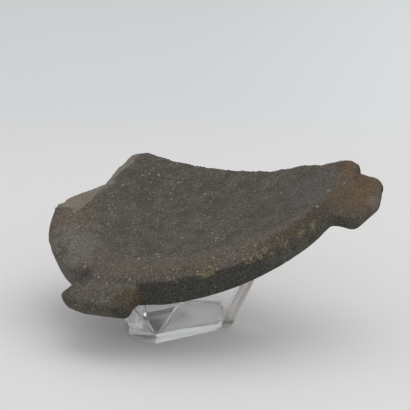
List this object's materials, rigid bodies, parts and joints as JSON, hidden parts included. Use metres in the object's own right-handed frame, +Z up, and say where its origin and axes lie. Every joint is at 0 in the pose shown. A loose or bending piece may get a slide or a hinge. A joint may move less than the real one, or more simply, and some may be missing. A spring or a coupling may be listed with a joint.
{
  "type": "cosmetic palette on stand",
  "caption": "Fragment of a round stone cosmetic palette with a shallow dished face, bevelled rim and side lugs, lying tilted on a clear plate stand that it lifts off.",
  "frame": {"origin": "middle of the underside of the stand's base plate, on the table", "axes": "+Z up, +X along the stand's straight front edge towards the high side of the palette, +Y from the front edge to the back"},
  "size_m": [0.1144, 0.1298, 0.0671],
  "materials": {
    "stone": "fine-grained dark stone, ground smooth on top, rough where broken",
    "clear_acrylic": "clear polished acrylic sheet"
  },
  "bodies": {
    "stand": {"base_plate": "clear_acrylic", "left_arm": "clear_acrylic", "right_arm": "clear_acrylic", "rear_arm": "clear_acrylic", "front_lip": "clear_acrylic"},
    "palette": {"stone_palette": "stone"}
  },
  "joints": [
    {"name": "palette_lift", "type": "slide", "parent": "stand", "child": "palette", "axis": [0, 0, 1], "range_m": [0, 0.06]}
  ]
}
